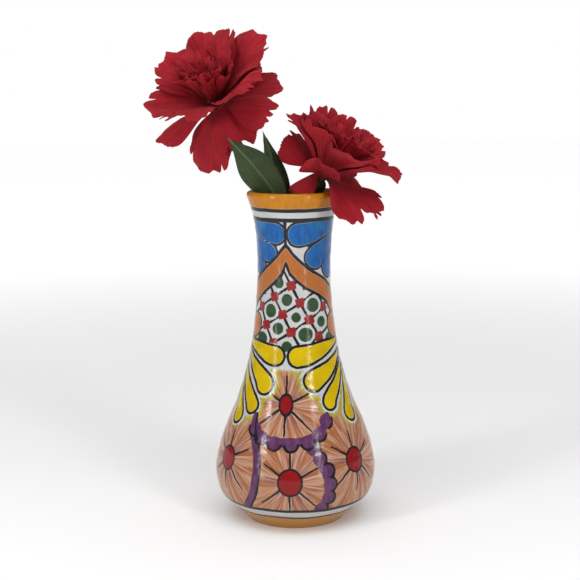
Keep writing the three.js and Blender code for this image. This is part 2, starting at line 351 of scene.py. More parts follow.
# The arch's outer and inner outlines, as (degrees, height).
ARCH_OUTER = [(-102.5, 139), (-84, 145.5), (-63, 153.5), (-43, 159.5), (-27, 165), (-12.5, 172)]
ARCH_OUTER += [(0, 165.8), (13, 160.8), (29, 156), (50, 151.5), (70, 145.5), (77.5, 139)]
ARCH_INNER = [(-102.5, 124), (-84, 131), (-71, 136.5), (-52, 143.5), (-32, 149.5), (-19, 155)]
ARCH_INNER += [(-12.5, 161.5), (-6, 155.4), (3, 151.5), (18, 146.5), (39, 142), (57, 137)]
ARCH_INNER += [(67, 131), (77.5, 124)]
LOBES = [(-71.5, 122.6, 6.6, 6.9), (71, 122.2, 6.6, 7.2)]
BARS = [[(PATTERN_CENTRE, 187, 1), (PATTERN_CENTRE, 171.5, 0.8)]]
LATTICE_ORIGIN = (-17.5, 130.7)
LATTICE_DOWN = (5.2, -10.4)
LATTICE_ACROSS = (-10.3, -7.0)
# The belly's flowers: degrees, height, and the half sizes of the red eye.
FLOWER_EYES = [
    (-9, 78, 3.7, 5.8),
    (-59, 43.2, 6.4, 7),
    (-4, 34.6, 6.9, 7.7),
    (48.5, 43.5, 6.6, 7.2),
]
# The purple edge under the upper flower, and those beside the lower flower, as (degrees, height, half
# width). The left one is smooth, and the bumps scallop the other two.
UPPER_EDGE = [(-38, 66.5, 2.6), (-31, 61, 2.8), (-22, 57.8, 2.9), (-7, 57.4, 2.7), (7, 58, 2.7)]
UPPER_EDGE += [(18, 61, 2.6), (26, 65.5, 2.3), (31, 71.5, 1.5)]
UPPER_BUMPS = [(-36, 63.5), (-28.5, 59), (-17, 56.6), (-3.5, 56.2), (10, 57.4), (20.5, 61.5)]
UPPER_BUMPS += [(28.5, 68)]
LEFT_EDGE = [(-39.5, 71, 1.6), (-38.5, 63, 2.1), (-33, 55, 2.4), (-29.5, 47, 2.5), (-29, 38, 2.5)]
LEFT_EDGE += [(-31, 27, 2.5), (-39, 15.5, 2.3)]
RIGHT_EDGE = [(13, 55, 2), (16.5, 50, 2.3), (18.5, 44.5, 2.4), (22, 38, 2.6), (23, 31, 2.6)]
RIGHT_EDGE += [(22, 24, 2.6), (17, 16.5, 2.2)]
RIGHT_BUMPS = [(14, 53.5), (18, 47.5), (23.5, 40.5), (24.5, 32.5), (23.5, 24.5), (18.5, 17.5)]
BUMP_RADIUS = 4.3
# The painted bands, in millimetres of height.
MOUTH_BANDS = {"white": (186, 194), "lines": [(185.9, 188.3), (191.7, 194)], "ochre": 194}
FOOT_BANDS = {"white": 16.4, "lines": [(15, 17), (8.7, 10.7)], "ochre": 9}
LIP_PAINT_END = 197


def vase_profile():
    """Radius, height and side of the wall, from under the foot, up the outside and down the inside."""
    turn = np.linspace(0, math.pi, 8)[1:-1]
    lip = np.stack([LIP_RADIUS * np.cos(turn), LIP_RADIUS * np.sin(turn)], 1) + LIP_CENTRE
    parts = [
        (np.array([(AXIS_RADIUS, 0), (16, 0), (30, 0)]), UNDERSIDE),
        (spline(OUTER, 196), OUTSIDE),
        (lip, OUTSIDE),
        (spline(INNER, 24), INSIDE),
        (np.array([(AXIS_RADIUS, INNER[-1][1])]), INSIDE),
    ]
    profile = np.vstack([points for points, _ in parts])
    side = np.concatenate([np.full(len(points), which) for points, which in parts])
    return profile, side


class Canvas:
    """The vase's points as a surface to paint on. Distances are negative inside a shape."""

    def __init__(self, degrees, height, radius, along, outside):
        self.degrees, self.height, self.radius, self.along = degrees, height, radius, along
        self.known_height, self.known_along = height[outside], along[outside]
        self.panel = (degrees - PATTERN_CENTRE + 90) % 180 - 90 + PATTERN_CENTRE

    def offset(self, degrees, height, middle=None):
        """Millimetres across and up from every point to a place in the pattern, which repeats half
        way round. Places of one stroke share its middle, so they stay on the same side."""
        middle = degrees if middle is None else middle
        turn = (middle - self.panel + 90) % 180 - 90 + degrees - middle
        rise = np.interp(height, self.known_height, self.known_along) - self.along
        return np.radians(turn) * self.radius, rise

    def ellipse(self, degrees, height, wide, tall):
        x, y = self.offset(degrees, height)
        return (np.hypot(x / wide, y / tall) - 1) * min(wide, tall)

    def stroke(self, points, count=24):
        """A brush stroke along (degrees, height, half width) points."""
        path = spline(points, count)
        middle = path[count // 2, 0]
        nearest = np.full(len(self.degrees), 1e3)
        x0, y0 = self.offset(*path[0, :2], middle)
        for (_, _, r0), (d1, h1, r1) in zip(path, path[1:]):
            x1, y1 = self.offset(d1, h1, middle)
            dx, dy = x1 - x0, y1 - y0
            share = np.clip(-(x0 * dx + y0 * dy) / (dx * dx + dy * dy + 1e-9), 0, 1)
            gap = np.hypot(x0 + share * dx, y0 + share * dy) - (r0 + (r1 - r0) * share)
            np.minimum(nearest, gap, out=nearest)
            x0, y0 = x1, y1
        return nearest

    def above(self, line):
        """Millimetres above a line of (degrees, height) points, measured square to it."""
        places = [place[:2] for place in line]
        level = np.interp(self.panel, *zip(*places))
        slope = (np.interp(self.panel + 1, *zip(*places)) - level) / NECK_MM_PER_DEGREE
        return (self.height - level) / np.hypot(1, slope)

    def right_of(self, line):
        """Millimetres to the right of a line that runs down through (degrees, height) points."""
        degrees = np.interp(self.height, *zip(*[(h, d) for d, h, *_ in reversed(line)]))
        return np.radians(self.panel - degrees) * self.radius


def union(fields):
    return np.minimum.reduce(list(fields))


def lattice_fields(canvas):
    """The lattice's lines, the squares at its crossings and the spots in its cells."""
    x = (canvas.panel - LATTICE_ORIGIN[0]) * NECK_MM_PER_DEGREE
    y = canvas.height - LATTICE_ORIGIN[1]
    (ax, ay), (bx, by) = LATTICE_DOWN, LATTICE_ACROSS
    area = ax * by - ay * bx
    down, across = (x * by - y * bx) / area, (ax * y - ay * x) / area
    spans = [abs(area) / math.hypot(*side) for side in (LATTICE_ACROSS, LATTICE_DOWN)]
    to_line = [np.abs(v - np.round(v)) * span for v, span in zip((down, across), spans)]
    lines = np.minimum(*to_line) - 0.8

    def nearest(shift):
        """The offset from the nearest crossing or cell centre, its numbers, and the room over it."""
        i, j = np.round(down - shift) + shift, np.round(across - shift) + shift
        centre_x, centre_y = i * ax + j * bx, i * ay + j * by
        degrees = centre_x / NECK_MM_PER_DEGREE + LATTICE_ORIGIN[0]
        room = np.interp(degrees, *zip(*ARCH_INNER)) - centre_y - LATTICE_ORIGIN[1]
        return x - centre_x, y - centre_y, i, j, room

    dx, dy, _, _, room = nearest(0)
    squares = np.maximum(np.abs(dx * 0.9 + dy * 0.25), np.abs(dy * 0.9 - dx * 0.25)) - 2.5
    squares += 9 * (room < 4)
    dx, dy, i, j, room = nearest(0.5)
    size = 3.3 + 0.7 * np.sin(i * 2.3 + j * 4.1) - np.clip(4 - room, 0, 4) * 0.5
    spots = np.hypot(dx, dy * 0.92) - size
    notch = 113.2 - 7.5 * np.exp(-(((canvas.panel + 9) / 9) ** 2))
    outline = np.maximum(canvas.above(ARCH_INNER), notch - canvas.height)
    return [np.maximum(field, outline) for field in (lines, squares, spots)]


def nearest_flower(canvas):
    """Each point's place in its nearest flower and its distance from it, in millimetres."""
    best = np.full(len(canvas.degrees), 1e3)
    across, up = np.zeros_like(best), np.zeros_like(best)
    for degrees, height, *_ in FLOWER_EYES:
        x, y = canvas.offset(degrees, height)
        distance = np.hypot(x, y)
        closer = distance < best
        best = np.where(closer, distance, best)
        across, up = np.where(closer, -x, across), np.where(closer, -y, up)
    return across, up, best


def pattern(canvas):
    """Every field of the painting. The blue seam is the difference between the two nearest blue drops."""
    nearest_blue, next_blue = np.partition([canvas.stroke(one) for one in BLUE_DROPS], 1, axis=0)[:2]
    lines, squares, spots = lattice_fields(canvas)
    across, up, away = nearest_flower(canvas)
    smooth = canvas.stroke(LEFT_EDGE)
    bumps = [
        union(canvas.ellipse(*place, BUMP_RADIUS, BUMP_RADIUS) for place in places)
        for places in (UPPER_BUMPS, RIGHT_BUMPS)
    ]
    return {
        "blue": nearest_blue,
        "blue_seam": next_blue - nearest_blue,
        "yellow": union(canvas.stroke(one) for one in YELLOW_DROPS),
        "arch": np.maximum(canvas.above(ARCH_OUTER), -canvas.above(ARCH_INNER)),
        "lobes": union(canvas.ellipse(*one) for one in LOBES),
        "bar": union(canvas.stroke(one, 6) for one in BARS),
        "lattice": lines,
        "squares": squares,
        "spots": spots,
        "flower_x": across,
        "flower_y": up,
        "flower_away": away,
        "eyes": union(canvas.ellipse(*one) for one in FLOWER_EYES),
        "purple": union([smooth, canvas.stroke(UPPER_EDGE), canvas.stroke(RIGHT_EDGE), *bumps]),
        "purple_line": union(
            [
                np.maximum(np.abs(smooth) - 0.6, 0.8 - canvas.right_of(LEFT_EDGE)),
                np.maximum(np.abs(bumps[0]) - 0.75, canvas.above(UPPER_EDGE) + 1.2),
                np.maximum(np.abs(bumps[1]) - 0.75, 1.2 - canvas.right_of(RIGHT_EDGE)),
            ]
        ),
        "height": canvas.height,
    }


def make_vase():
    profile, side = vase_profile()
    rows = len(profile)
    angle = np.tile(np.linspace(0, 2 * math.pi, AROUND, endpoint=False), rows)
    radius, height = (np.repeat(column, AROUND) for column in profile.T)
    along = np.concatenate([[0], np.cumsum(np.hypot(*np.diff(profile, axis=0).T))])
    # The thrown wall is a little uneven, so highlights on it waver.
    uneven = np.sin(3 * angle + height * 0.05) + np.sin(5 * angle - height * 0.11)
    uneven += 0.8 * np.sin(height * 0.42) + 0.5 * np.sin(height * 0.9 + 2 * angle)
    wall = radius + 0.09 * uneven * np.clip(height / 8, 0, 1) * np.clip((198 - height) / 20, 0, 1)
    points = np.stack([wall * np.sin(angle), -wall * np.cos(angle), height], 1) * MM
    thing = new_object("painted_vase", points, grid_faces(rows, AROUND, True), glaze_material())
    cap_ends(thing, rows, AROUND)
    outside = np.repeat(side == OUTSIDE, AROUND)
    canvas = Canvas(
        np.degrees(angle), height, np.maximum(radius, 5), np.repeat(along, AROUND), outside
    )
    for name, values in pattern(canvas).items():
        set_attribute(thing, name, values)
    set_attribute(thing, "side", np.repeat(side, AROUND))
    stand_for(thing, "vase", "vase")


# Black lines that part each painted flower: the way they run in degrees from the right, and their length.
FLOWER_RAYS = [(90, 18.5), (27, 20), (-45, 24), (-91, 20), (-142, 23), (146, 20)]
# Half the width over which one paint gives way to the next, in millimetres.
SOFT = 0.16
# The share of the light that the clear glaze takes from every paint.
GLAZE_SHADE = 0.13
# Each paint where it lies thin and where it lies thick.
PAINTS = {
    "ink": ((0.009, 0.009, 0.012), (0.024, 0.022, 0.027)),
    "white": ((0.51,) * 3, (0.57, 0.57, 0.56)),
    "peach": ((0.5, 0.28, 0.18), (0.44, 0.2, 0.1)),
    "lime": ((0.48, 0.4, 0.01), (0.32, 0.36, 0.05)),
    "plum": ((0.085, 0.028, 0.085), (0.15, 0.052, 0.13)),
    "eye": ((0.24, 0.006, 0.008), (0.29, 0.012, 0.013)),
    "crossing": ((0.22, 0.012, 0.014), (0.33, 0.03, 0.03)),
    "green": ((0.02, 0.052, 0.022), (0.045, 0.09, 0.042)),
    "sea": ((0.002, 0.075, 0.3), (0.004, 0.12, 0.37)),
    "sun": ((0.56, 0.38, 0.002), (0.66, 0.47, 0.004)),
    "orange": ((0.39, 0.105, 0.018), (0.47, 0.155, 0.03)),
    "ochre": ((0.49, 0.18, 0.007), (0.56, 0.22, 0.01)),
    "foot_ochre": ((0.44, 0.19, 0.03), (0.55, 0.26, 0.05)),
    "clay": ((0.3, 0.13, 0.06), (0.45, 0.24, 0.13)),
}
RUST = (0.34, 0.105, 0.035)
MAUVE = (0.16, 0.055, 0.105)
CREAM = (0.64, 0.45, 0.34)
SHALLOW_SEA = (0.02, 0.22, 0.42)
PLAIN_GLAZE = (0.5, 0.49, 0.46)
HALOS = {"blue": (0.22, 0.3, 0.42), "yellow": (0.5, 0.42, 0.12), "orange": (0.5, 0.3, 0.18)}


class Painting(Graph):
    """The painted glaze. Its edges wander with the brush, and its paints are streaked and clouded."""

    def __init__(self):
        super().__init__("painted_glaze")
        self.where = self.place()
        self.wobble = self.sway(170, 0.8)
        self.drift = self.add(self.wobble, self.sway(800, 0.3))
        self.height = self.add(self.attribute("height"), self.sway(45, 2))
        self.streaks = self.noise(self.scaled(self.where, 1, 1, 0.3), 420, 3, 0.6)
        self.cloud = self.noise(self.where, 90, 3)
        self.ink = self.paint("ink", self.streaks)
        self.white = self.paint("white", self.step(self.cloud, 0.3, 0.7))

    def sway(self, scale, size):
        """Noise about zero."""
        return self.times(self.add(self.noise(self.where, scale), -0.5), size)

    def paint(self, name, share):
        return self.mix(share, *PAINTS[name])

    def field(self, name):
        return self.add(self.attribute(name), self.drift)

    def inside(self, value, edge=0.0):
        return self.step(value, edge + SOFT, edge - SOFT)

    def fill(self, colour, name, paint, edge=0.0):
        """Lays a paint inside a field, or as far outside it as the edge says."""
        return self.mix(self.inside(self.field(name), edge), colour, paint)

    def all_of(self, *shares):
        result = shares[0]
        for share in shares[1:]:
            result = self.times(result, share)
        return result

    def band(self, low, high):
        above = self.step(self.height, low - SOFT, low + SOFT)
        return self.all_of(above, self.inside(self.height, high))

    def outlined(self, colour, value, fill, line, halo):
        """A filled shape with a black line round it and a faint paler rim between them."""
        colour = self.mix(self.inside(value, line), colour, self.ink)
        colour = self.mix(self.inside(value, 0), colour, halo)
        return self.mix(self.inside(value, -0.25), colour, fill)


def paint_flowers(g):
    """The belly: strokes that run out from each flower's eye, lime tips and black rays, on white."""
    x, y = g.attribute("flower_x"), g.attribute("flower_y")
    distance = g.math("SQRT", g.add(g.times(x, x), g.times(y, y)))
    turn_x, turn_y = (g.math("DIVIDE", v, g.math("MAXIMUM", distance, 0.5)) for v in (x, y))

    def strokes(fineness, stretch):
        turn = (g.times(turn_x, fineness), g.times(turn_y, fineness))
        return g.noise(g.vector(*turn, g.times(distance, stretch)), 1, 2, 0.6)

    fine, broad, pale, wide = strokes(9.5, 0.03), strokes(5.5, 0.05), strokes(12, 0.04), strokes(7.3, 0.02)
    paint = g.paint("peach", g.step(broad, 0.35, 0.65))
    paint = g.mix(g.times(g.step(fine, 0.5, 0.56), 0.8), paint, RUST)
    near_eye = g.step(g.add(distance, g.times(fine, 16)), 32, 14)
    paint = g.mix(g.times(g.all_of(g.step(wide, 0.52, 0.6), near_eye), 0.85), paint, MAUVE)
    paint = g.mix(g.times(g.step(pale, 0.44, 0.38), 0.5), paint, CREAM)
    # The strokes stop short of the yellow drops.
    margin = g.add(g.attribute("yellow"), g.times(g.add(pale, -0.5), 6))
    margin = g.add(margin, g.times(g.wobble, 2))
    under_drops = g.step(g.add(g.height, g.times(pale, 4)), 101, 99)
    ground = g.all_of(g.step(margin, 2.5, 3.3), under_drops, above_foot(g))
    tips = g.all_of(g.step(margin, 6.4, 3.4), g.step(g.height, 60, 66))
    lime = g.paint("lime", g.step(g.cloud, 0.35, 0.65))
    colour = g.mix(ground, g.white, g.mix(g.times(tips, 0.9), paint, lime))
    in_flower = g.step(g.add(g.attribute("flower_away"), g.times(distance, -1)), 0.5, 0.2)
    for degrees, length in FLOWER_RAYS:
        c, s = math.cos(math.radians(degrees)), math.sin(math.radians(degrees))
        run = g.add(g.times(x, c), g.times(y, s))
        off = g.add(g.add(g.times(x, -s), g.times(y, c)), g.times(g.drift, 1.6))
        width = g.add(0.85, g.times(run, -0.018))
        line = g.step(g.add(g.math("ABSOLUTE", off), g.times(width, -1)), SOFT, -SOFT)
        ends = g.all_of(g.step(run, 0, 1), g.step(run, length, length - 1.5))
        colour = g.mix(g.all_of(line, ends, in_flower, ground), colour, g.ink)
    return colour


def above_foot(g):
    return g.step(g.height, FOOT_BANDS["white"] - 0.2, FOOT_BANDS["white"] + 0.2)


def paint_edges_and_eyes(g, colour):
    """Purple edges with a black line on one side only, and the flowers' red eyes."""
    belly = above_foot(g)
    plum = g.paint("plum", g.step(g.streaks, 0.3, 0.7))
    for name, paint in {"purple": plum, "purple_line": g.ink}.items():
        colour = g.mix(g.all_of(g.inside(g.field(name)), belly), colour, paint)
    colour = g.fill(colour, "eyes", g.ink, 0.85)
    return g.fill(colour, "eyes", g.paint("eye", g.cloud), -0.4)


def paint_lattice(g, colour):
    colour = g.fill(colour, "lattice", g.ink)
    colour = g.fill(colour, "squares", g.paint("crossing", g.streaks))
    colour = g.fill(colour, "spots", g.white, 1.4)
    return g.fill(colour, "spots", g.paint("green", g.cloud))


def paint_drops_and_arch(g, colour):
    sea = g.paint("sea", g.step(g.streaks, 0.35, 0.65))
    shallow = g.all_of(g.step(g.height, 177, 187), g.step(g.cloud, 0.42, 0.7))
    sea = g.mix(g.times(shallow, 0.7), sea, SHALLOW_SEA)
    colour = g.outlined(colour, g.field("blue"), sea, 1.4, HALOS["blue"])
    seam = g.all_of(g.inside(g.attribute("blue_seam"), 1), g.inside(g.field("blue"), 0.5))
    colour = g.mix(seam, colour, g.ink)
    sun = g.paint("sun", g.step(g.cloud, 0.3, 0.7))
    colour = g.outlined(colour, g.field("yellow"), sun, 1.6, HALOS["yellow"])
    orange = g.paint("orange", g.streaks)
    colour = g.outlined(colour, g.add(g.field("arch"), 0.7), orange, 1.9, HALOS["orange"])
    colour = g.outlined(colour, g.field("lobes"), orange, 1.3, HALOS["orange"])
    return g.fill(colour, "bar", g.ink)


def paint_bands(g, colour):
    """The bands at the mouth and the foot."""
    colour = g.mix(g.band(*MOUTH_BANDS["white"]), colour, g.white)
    for line in MOUTH_BANDS["lines"]:
        colour = g.mix(g.band(*line), colour, g.ink)
    lip = g.step(g.height, MOUTH_BANDS["ochre"] - 0.1, MOUTH_BANDS["ochre"] + 0.2)
    colour = g.mix(lip, colour, g.paint("ochre", g.step(g.streaks, 0.3, 0.7)))
    colour = g.mix(g.inside(g.height, FOOT_BANDS["white"]), colour, g.white)
    for line in FOOT_BANDS["lines"]:
        colour = g.mix(g.band(*line), colour, g.ink)
    foot_ochre = g.paint("foot_ochre", g.streaks)
    return g.mix(g.inside(g.height, FOOT_BANDS["ochre"]), colour, foot_ochre)


def glaze_material():
    g = Painting()
    colour = paint_flowers(g)
    for layer in (paint_edges_and_eyes, paint_lattice, paint_drops_and_arch, paint_bands):
        colour = layer(g, colour)
    # Plain glaze inside the neck, and bare clay under the foot.
    side = g.attribute("side")
    below_lip = g.step(g.attribute("height"), LIP_PAINT_END + 0.4, LIP_PAINT_END - 0.4)
    colour = g.mix(g.all_of(g.step(side, 0.4, 0.6), below_lip), colour, PLAIN_GLAZE)
    bare = g.step(side, 1.4, 1.6)
    colour = g.mix(bare, colour, g.paint("clay", g.noise(g.where, 1500, 4)))
    colour = g.mix(GLAZE_SHADE, colour, (0, 0, 0))
    peel = g.noise(g.where, 300)
    pits = g.step(g.noise(g.where, 2400, 1), 0.72, 0.8)
    thick = g.step(g.math("MINIMUM", g.field("blue"), g.field("yellow")), 0.5, -0.9)
    relief = g.add(g.add(g.times(peel, 1.2), g.times(thick, 0.8)), g.times(pits, -0.3))
    gloss = g.mix(peel, (0.09,) * 3, (0.16,) * 3)
    return g.finish(
        Base_Color=colour,
        Roughness=g.mix(bare, gloss, (0.8,) * 3),
        Specular_IOR_Level=0.24,
        Normal=g.bump(relief, 0.00013),
    )


# ---- carnations ----
# Each bloom has five die-cut cloth layers threaded on a peg, from the skirt up to the heart. Lengths are
# in millimetres and angles in degrees. In a bloom's own frame +Z is the way it faces, +X down its slope.

# The petals begin just inside the rim of the disc that joins them.
HUB_RADIUS = 3.8
HOLE_RADIUS = 1.7
DISC_RADIUS = 4.7
LAYER_PITCH = 2.8
PETALS = 6
CLOTH = 0.35
LAYERS = [
    {"name": "skirt", "cut": 46, "curl": 34, "turn": 0, "width": 1, "crumple": 1.1, "cup": 2.2},
    {"name": "outer", "cut": 47, "curl": 30, "turn": 30, "width": 1, "crumple": 1.7, "cup": 3.4},
    {"name": "middle", "cut": 40, "curl": 22, "turn": 8, "width": 1.1, "crumple": 2.1, "cup": 3},
    {"name": "inner", "cut": 31, "curl": 14, "turn": 40, "width": 1.25, "crumple": 1.8, "cup": 3},
    {"name": "heart", "cut": 21, "curl": 4, "turn": 20, "width": 1.4, "crumple": 1.3, "cup": 2},
]
# Each layer has its petals' rises from the disc, and their lengths against the layer's cut. Width, slit and
# twist are for the skirt's petals: the width against a share of the disc, the depth of a slit, and how far
# one side is turned up.
FLOWERS = [
    {
        "name": "left",
        "hub": (-44.5, 7, 254),
        "faces": (-0.34, -0.6, 0.725),
        "first_petal": 345,
        "layers": [
            [(-46, -34, -4, 2, 4, -13), (1, 0.8, 0.98, 0.9, 0.9, 1.1)],
            [(34, 34, 34, 36, 40, 30), (0.95, 1.05, 1.14, 1.08, 1, 1)],
            [(72, 66, 52, 48, 48, 64), (0.85, 0.78, 0.85, 0.9, 0.95, 1)],
            [(77, 72, 60, 58, 66, 76), (1, 0.95, 0.85, 0.85, 0.95, 1)],
            [(80, 76, 68, 66, 72, 80), (1, 1, 1, 1, 1, 1)],
        ],
        "width": (1.08, 1.1, 1.1, 0.9, 0.9, 0.8),
        "slit": (0, 0.1, 0.16, 0.2, 0, 0.68),
        "twist": (0, 0, 0, 0, 0, 0),
        "foot": (9, 0, 7.6),
        "bend_start": (-11.5, 2, 172),
        "bend": [(-19, 8, 203), (-30, 14.5, 224)],
    },
    {
        "name": "right",
        "hub": (17, -4, 212),
        "faces": (0.46, -0.2, 0.865),
        "first_petal": 345,
        "layers": [
            [(-10, -10, 8, 18, -62, 25), (0.98, 1.08, 0.95, 0.8, 0.54, 0.75)],
            [(30, 42, 44, 33, 46, 38), (1.08, 1.04, 1.06, 0.95, 0.98, 1.04)],
            [(52, 58, 60, 50, 59, 60), (1, 1, 1, 0.95, 0.9, 0.95)],
            [(63, 65, 66, 63, 65, 65), (1, 1, 1, 1, 1, 1)],
            [(68, 75, 69, 77, 71, 76), (1, 1, 1, 1, 1, 1)],
        ],
        "width": (0.86, 1.15, 0.9, 0.9, 1.6, 0.8),
        "slit": (0.08, 0.2, 0, 0, 0, 0),
        "twist": (0.62, 0, 0, 0, 0.3, 0),
        "foot": (-8, 10, 7.6),
        "bend_start": (1, 7, 158),
        "bend": [(3.4, 5.6, 180)],
    },
]
DISC_SIDES = 48
PETAL_COLUMNS = 84
PETAL_ROWS = 26
PETAL_HALF_TURN = 0.63
PETAL_TURN = 360 / PETALS
# A petal's grid: from side to side, and from the disc to the cut edge.
U = np.linspace(-1, 1, PETAL_COLUMNS)[None, :]
V = np.linspace(0, 1, PETAL_ROWS)[:, None]
# A petal that droops this far hangs free of its neighbours, and every petal does so in some part.
FREE_DROOP = 60
LEAST_FREE = 0.3
CALYX_LENGTH = 14
CALYX_SIDES = 60
CALYX_PROFILE = [(0.4, -7.5), (2.8, -7.5), (2.8, -14), (3.7, -14), (4.9, -10), (5.6, -6.5)]
CALYX_PROFILE += [(4.9, -3.4), (3.4, -2), (3.2, -0.7), (1.6, -0.7)]
SLEEVE_RADIUS = 2.3
WIRE_PROUD = 1.5


def bloom_frame(flower):
    """The matrix from a bloom's own millimetres to millimetres in the world."""
    faces = unit(flower["faces"])
    down = unit(np.array((0, 0, -1)) + faces * faces[2])
    return np.stack([down, np.cross(faces, down), faces], 1), np.array(flower["hub"], float)


def blend(values, petal):
    """A per-petal value held over each petal and passed smoothly to the next."""
    low = np.floor(petal).astype(int)
    share = np.clip((petal - low - 0.15) / 0.7, 0, 1)
    share = share * share * (3 - 2 * share)
    values = np.array(values, float)
    return values[low % PETALS] * (1 - share) + values[(low + 1) % PETALS] * share


def wander(x, rng, spacing):
    """A smooth random line between -1 and 1, with a new value each spacing."""
    knots = np.arange(math.floor(x.min() / spacing) - 1, math.ceil(x.max() / spacing) + 2)
    return np.interp(x / spacing, knots, rng.uniform(-1, 1, len(knots)))


def fringe(width, reach, rng):
    """How far the cut edge falls short of the petal's reach: teeth, waves and a few slits."""
    teeth = 0.3 * (1 + np.sin(width * 3.1 + 1.5 * wander(width, rng, 3)))
    depth = teeth + 0.8 * (1 + wander(width, rng, 3.1)) + 1.9 * (1 + wander(width, rng, 8))
    for place in rng.uniform(width.min() * 0.85, width.max() * 0.85, 3):
        depth += rng.uniform(1.5, 7) * np.exp(-(((width - place) / 1.2) ** 2))
    return depth * reach / 46


def round_the_peg(azimuth, out, up):
    return np.stack([out * np.cos(azimuth), out * np.sin(azimuth), up + 0 * azimuth], -1)


def grid_area(points):
    one, other = np.diff(points, axis=0)[:, :-1], np.diff(points, axis=1)[:-1]
    return float(np.linalg.norm(np.cross(one, other), axis=-1).sum())


def folds(azimuth, share, seed):
    """Broad creases and narrow pleats that run on from petal to petal, so that neighbours stay apart."""
    rng = np.random.default_rng(seed)
    height = 0 * azimuth * share
    for count, drift, size in ((4, 3.1, 0.9), (7, -4.2, 0.75), (11, 3.4, 0.5), (19, -2.1, 0.28)):
        wave = count * azimuth + drift * share * (1 + share) + rng.uniform(0, 2 * math.pi)
        height = height + size * np.arcsin(0.93 * np.sin(wave))
    crimp = 0.3 * np.sin(31 * azimuth + seed) + 0.12 * np.sin(53 * azimuth)
    return height * share**1.4 + crimp * share**3


def petal_outline(flower, layer, level, petal, rng):
    """The cut petal: each point's turn round the disc in petals, and its place along and across."""
    length = layer["cut"] * flower["layers"][level][1][petal]
    width, slit = layer["width"], 0
    if level == 0:
        width, slit = flower["width"][petal], flower["slit"][petal]
    spread = PETAL_HALF_TURN * width * (0.7 + 1.25 * V - 0.95 * V * V)
    reach = length * (1 - 0.22 * np.abs(U) ** 3)
    reach = reach * (1 - slit * np.exp(-(((U - rng.uniform(-0.2, 0.2)) / 0.16) ** 4)))
    depth = fringe(U * spread[-1] * math.radians(PETAL_TURN) * layer["cut"], layer["cut"], rng)
    along = np.clip((reach - HUB_RADIUS) * V - depth * V**5, 0, None)
    across = U * spread * math.radians(PETAL_TURN) * (HUB_RADIUS + along)
    return petal + U * spread, along, across


def petal_relief(flower, layer, level, petal, azimuth, share, across, rng):
    """How far each point stands off the smooth bowl of its layer, in millimetres."""
    rises = flower["layers"][level][0]
    seed = 10 * level + len(flower["name"])
    height = layer["crumple"] * folds(azimuth, share, seed)
    # The higher of two neighbours lies on top where they overlap.
    right = np.sign(rises[(petal + 1) % PETALS] - rises[petal]) or 1
    left = np.sign(rises[(petal - 1) % PETALS] - rises[petal]) or -1
    side = np.where(U > 0, right, left) * np.clip((np.abs(U) - 0.25) / 0.4, 0, 1)
    height = height - 0.7 * side * np.clip(share * 3, 0, 1)
    cup = layer["cup"] * rng.uniform(0.6, 1.3)
    crease = 0.8 * np.exp(-(((U - rng.uniform(-0.3, 0.3)) / 0.1) ** 2))
    height = height - (1 - U * U) * share * (cup * (1 - 0.4 * share) - crease)
    curl_out = np.clip(share - 0.7, 0, 1) ** 2 * 46 * rng.uniform(0.2, 1)
    height = height - curl_out * (0.6 + 0.4 * np.sin(9 * azimuth + seed))
    twist = flower["twist"][petal] if level == 0 else 0
    return height + twist * across * np.clip(1.5 * share, 0, 1)


def petal_points(flower, layer, level, petal, rng):
    """One petal: its points, the flat area of its cut, and the points' places across and along it."""
    at, along, across = petal_outline(flower, layer, level, petal, rng)
    azimuth = np.radians(flower["first_petal"] + layer["turn"] + PETAL_TURN * at)
    rises = flower["layers"][level][0]
    free = min(max(-rises[petal] / FREE_DROOP, LEAST_FREE), 1)
    rise = free * rises[petal] + (1 - free) * blend(rises, at % PETALS)
    start = np.radians(rise + layer["curl"] / 2)
    bend = -math.radians(layer["curl"]) / layer["cut"]
    angle = start + bend * along
    out = HUB_RADIUS + (np.sin(angle) - np.sin(start)) / bend
    up = (np.cos(start) - np.cos(angle)) / bend
    area = grid_area(round_the_peg(azimuth, out, up))
    share = along / layer["cut"]
    height = petal_relief(flower, layer, level, petal, azimuth, share, across, rng)
    out = out - np.sin(angle) * height
    up = up + np.cos(angle) * height + level * LAYER_PITCH
    return round_the_peg(azimuth, out, up).reshape(-1, 3), area, across.ravel(), along.ravel()


def make_layer(flower, layer, level, material):
    rng = np.random.default_rng(100 * level + len(flower["name"]))
    grids = [petal_points(flower, layer, level, petal, rng) for petal in range(PETALS)]
    turn, hub = bloom_frame(flower)
    points = np.vstack([grid[0] for grid in grids]) @ turn.T + hub
    size = PETAL_ROWS * PETAL_COLUMNS
    faces = [grid_faces(PETAL_ROWS, PETAL_COLUMNS, first=k * size) for k in range(PETALS)]
    # The flat disc that joins the petals round the peg's hole.
    ring = np.linspace(0, 2 * math.pi, DISC_SIDES, endpoint=False)
    circle = np.stack([np.cos(ring), np.sin(ring), 0 * ring], 1)
    hole, rim = circle * HOLE_RADIUS, circle * DISC_RADIUS
    disc = (np.vstack([hole, rim]) + (0, 0, level * LAYER_PITCH)) @ turn.T + hub
    faces.append(grid_faces(2, DISC_SIDES, True, first=PETALS * size))
    name = f"{flower['name']}_{layer['name']}_petals"
    thing = new_object(f"{name}_cloth", np.vstack([points, disc]) * MM, np.vstack(faces), material)
    spare = np.zeros(2 * DISC_SIDES)
    set_attribute(thing, "across", np.concatenate([*(g[2] for g in grids), spare]))
    set_attribute(thing, "along", np.concatenate([*(g[3] for g in grids), spare]))
    number = np.repeat(np.arange(PETALS), size)
    set_attribute(thing, "petal", np.concatenate([number, spare]))
    thicken(thing, CLOTH)
    stand_for(thing, name, f"{flower['name']}_head")


def weave(g, across, along, threads):
    return g.times(*(g.math("SINE", g.times(way, threads)) for way in (across, along)))


